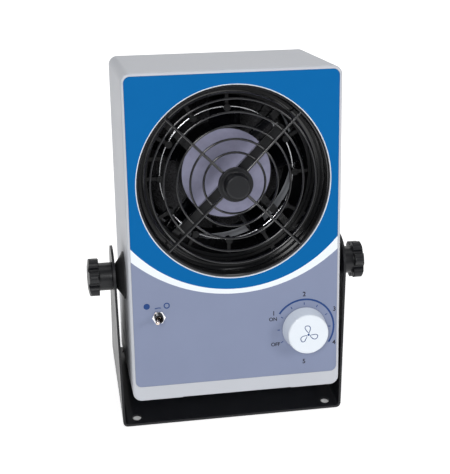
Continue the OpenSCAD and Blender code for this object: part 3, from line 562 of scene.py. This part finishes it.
def add_dial(navy, black):
    cx, cz = SPEED.x, SPEED.z
    add_stroke("dial_arc", ring_points(cx, cz, DIAL_R, DIAL_LINE, DIAL_START, DIAL_END, 60), navy)
    for digit, angle in DIGITS:
        a = math.radians(angle)
        x, z = cx + DIGIT_R * math.cos(a), cz + DIGIT_R * math.sin(a)
        add_lettering(f"dial_digit_{digit}", str(digit), x, z, DIGIT_H, black)
    for index in range(TICK_COUNT):
        a = math.radians(TICK_START - TICK_STEP * index)
        across = Vector((-math.sin(a), math.cos(a))) * TICK_HALF_W
        inner, outer = (Vector((cx + r * math.cos(a), cz + r * math.sin(a))) for r in TICK_REACH)
        rim = [tuple(p) for p in (inner + across, inner - across, outer - across, outer + across)]
        add_stroke(f"dial_tick_{index}", rim, navy)
    for name, word, x, z in DIAL_WORDS:
        add_lettering(name, word, x, z, WORD_H, black)


def add_toggle_marks(navy):
    add_stroke("toggle_mark_on", circle(*MARK_ON, MARK_R, 32), navy)
    add_stroke("toggle_mark_off", circle(*MARK_OFF, MARK_R, 32), navy,
               hole=circle(*MARK_OFF, MARK_HOLE_R, 32))
    line = ring_points(TOGGLE.x, TOGGLE.z, MARK_ARC_R, MARK_ARC_LINE, 112, 74, 16)
    add_stroke("toggle_mark_arc", line, navy)


# ---------------------------------------------------------------- knob symbol
BLADES = 3
BLADE_POINTS = 36
BLADE_MIDDLE, BLADE_HALF_LENGTH = 3.9, 2.8
BLADE_HALF_WIDTH, BLADE_FLARE = 1.9, 0.9
BLADE_ROOT, BLADE_SWEEP = 1.2, 0.18
SYMBOL_LINE = 0.55
SYMBOL_HUB_R = 0.8


def blade_outline(shrink):
    """One blade of the fan symbol, drawn along +x from the middle of the knob."""
    points = []
    for i in range(BLADE_POINTS):
        t = 2 * math.pi * i / BLADE_POINTS
        u = BLADE_MIDDLE + BLADE_HALF_LENGTH * math.cos(t)
        half_width = BLADE_HALF_WIDTH + BLADE_FLARE * math.cos(t)
        v = half_width * math.sin(t) + BLADE_SWEEP * (u - BLADE_ROOT)
        points.append(Vector((u, v)))
    middle = sum(points, Vector((0, 0))) / len(points)
    return [p - (p - middle).normalized() * shrink for p in points]


def add_knob_symbol(navy):
    """Three-bladed fan drawn as an outline on the knob's face."""
    cx, cz = SPEED.x, SPEED.z
    face = housing_extent("speed_knob")[0].y - PRINT_T + PRINT_SINK
    for index in range(BLADES):
        turn = Matrix.Rotation(math.radians(90 + 360 / BLADES * index), 2)
        rim, hole = ([tuple(turn @ p + Vector((cx, cz))) for p in blade_outline(shrink)]
                     for shrink in (0, SYMBOL_LINE))
        add_stroke(f"knob_symbol_{index}", rim, navy, "speed_dial", face, hole)
    hub = circle(cx, cz, SYMBOL_HUB_R, 24)
    add_stroke("knob_symbol_hub", hub, navy, "speed_dial", face)


# ---------------------------------------------------------------- back
SCREW_HEAD_R = 2.8
RECESS_REACH, RECESS_HALF_W = 1.45, 0.33
RECESS_TURN, RECESS_TURN_STEP = 17, 31


def cross_points(cx, cz, reach, half, turn):
    """Outline of a plus sign, turned by an angle in degrees."""
    corner = [(half, reach), (-half, reach), (-half, half), (-reach, half),
              (-reach, -half), (-half, -half), (-half, -reach), (half, -reach),
              (half, -half), (reach, -half), (reach, half), (half, half)]
    spin = Matrix.Rotation(math.radians(turn), 2)
    return [tuple(spin @ Vector(p) + Vector((cx, cz))) for p in corner]


def add_screw_recesses(dark):
    """The driver recess of every screw that shows on the back, drawn as a flat dark cross: painted shade of a
    recess that isn't cut.
    """
    for node in ("cover_screws", "inlet_screws"):
        low, high = housing_extent(node)
        rows = [low.z + SCREW_HEAD_R, high.z - SCREW_HEAD_R]
        if high.z - low.z <= 3 * SCREW_HEAD_R:
            rows = [(low.z + high.z) / 2]
        face = high.y - PRINT_T + PRINT_SINK
        count = 0
        for cx in (low.x + SCREW_HEAD_R, high.x - SCREW_HEAD_R):
            for cz in rows:
                turn = RECESS_TURN + RECESS_TURN_STEP * count
                rim = cross_points(cx, cz, RECESS_REACH, RECESS_HALF_W, turn)
                add_stroke(f"{node}_recess_{count}", rim, dark, "housing", face)
                count += 1


# ---------------------------------------------------------------- stage
FLOOR_HALF = 6.0
FLOOR_GLOW = 0.56
WORLD_LIGHT = 0.34
LAMP_AIM = (0, 0, 0.13)
LAMPS = (  # name, place, size, power
    ("key", (-0.45, -1.25, 1.05), (0.45, 0.45), 12),
    ("fill", (0.95, -0.9, 0.8), (0.4, 0.5), 5),
    ("top", (0.1, 0.2, 1.6), (0.9, 0.6), 3),
    ("behind", (0.3, 1.5, 0.9), (0.9, 0.9), 4),
)


def add_floor():
    mesh = bpy.data.meshes.new("floor")
    half = FLOOR_HALF
    corners = [(-half, -half, 0), (half, -half, 0), (half, half, 0), (-half, half, 0)]
    mesh.from_pydata(corners, [], [(0, 1, 2, 3)])
    floor = bpy.data.objects.new("floor", mesh)
    bpy.context.scene.collection.objects.link(floor)
    s = Shader("floor")
    s.set(Roughness=0.9, Specular_IOR_Level=0.1)
    s.color(s.mix(s.noise(3, 2), (0.90, 0.90, 0.90, 1), (0.92, 0.92, 0.92, 1)))
    path = s.nodes.new("ShaderNodeLightPath")
    seen = s.math("MAXIMUM", path.outputs["Is Camera Ray"], path.outputs["Is Glossy Ray"])
    # Under the bracket the floor doesn't glow, so the bench holes stay dark.
    split = s.nodes.new("ShaderNodeSeparateXYZ")
    s.links.new(s.coords, split.inputs[0])
    foot_low, foot_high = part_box("bracket")
    reach_x = s.math("DIVIDE", s.math("ABSOLUTE", split.outputs[0], 0.0), foot_high[0] - 0.004)
    reach_y = s.math("DIVIDE", s.math("ABSOLUTE", split.outputs[1], 0.0), foot_high[1] - 0.002)
    open_floor = s.math("GREATER_THAN", s.math("MAXIMUM", reach_x, reach_y), 1.0)
    s.set(Emission_Color=(1, 1, 1, 1))
    lift = s.math("MULTIPLY", s.math("MULTIPLY", seen, open_floor), FLOOR_GLOW)
    s.links.new(lift, s.bsdf.inputs["Emission Strength"])
    mesh.materials.append(s.material)


def add_world():
    world = bpy.data.worlds.new("studio")
    bpy.context.scene.world = world
    world.use_nodes = True
    nodes, links = world.node_tree.nodes, world.node_tree.links
    nodes.clear()
    out = nodes.new("ShaderNodeOutputWorld")
    light, seen = nodes.new("ShaderNodeBackground"), nodes.new("ShaderNodeBackground")
    light.inputs["Color"].default_value = (1.0, 1.0, 1.0, 1)
    light.inputs["Strength"].default_value = WORLD_LIGHT
    seen.inputs["Color"].default_value = (1, 1, 1, 1)
    seen.inputs["Strength"].default_value = 1.0
    path = nodes.new("ShaderNodeLightPath")
    mix = nodes.new("ShaderNodeMixShader")
    links.new(path.outputs["Is Camera Ray"], mix.inputs[0])
    links.new(light.outputs[0], mix.inputs[1])
    links.new(seen.outputs[0], mix.inputs[2])
    links.new(mix.outputs[0], out.inputs[0])


def add_lamp(name, at, aim, size, power):
    data = bpy.data.lights.new(name, "AREA")
    data.shape = "RECTANGLE"
    data.size, data.size_y = size
    data.energy = power
    lamp = bpy.data.objects.new(name, data)
    lamp.location = at
    lamp.rotation_euler = (Vector(aim) - Vector(at)).to_track_quat("-Z", "Y").to_euler()
    bpy.context.scene.collection.objects.link(lamp)


def add_lamps():
    for name, at, size, power in LAMPS:
        add_lamp(name, at, LAMP_AIM, size, power)


bpy.context.scene.view_settings.view_transform = "Standard"
add_camera()
add_world()
add_lamps()
add_floor()
dress_cad_nodes()
navy_ink = plastic("ink_navy", NAVY, grain=1500,
                   grain_depth=0.00001, mottle=0.02, wear=0.0)
black_ink = plastic("ink_black", BLACK_INK, grain=1500,
                    grain_depth=0.00001, mottle=0.02, wear=0.0)
add_front_sheet()
add_dial(navy_ink, black_ink)
add_toggle_marks(navy_ink)
add_knob_symbol(navy_ink)
add_screw_recesses(plastic("recess_painted_shade", (0.01, 0.01, 0.012), rough=0.6, wear=0.0))
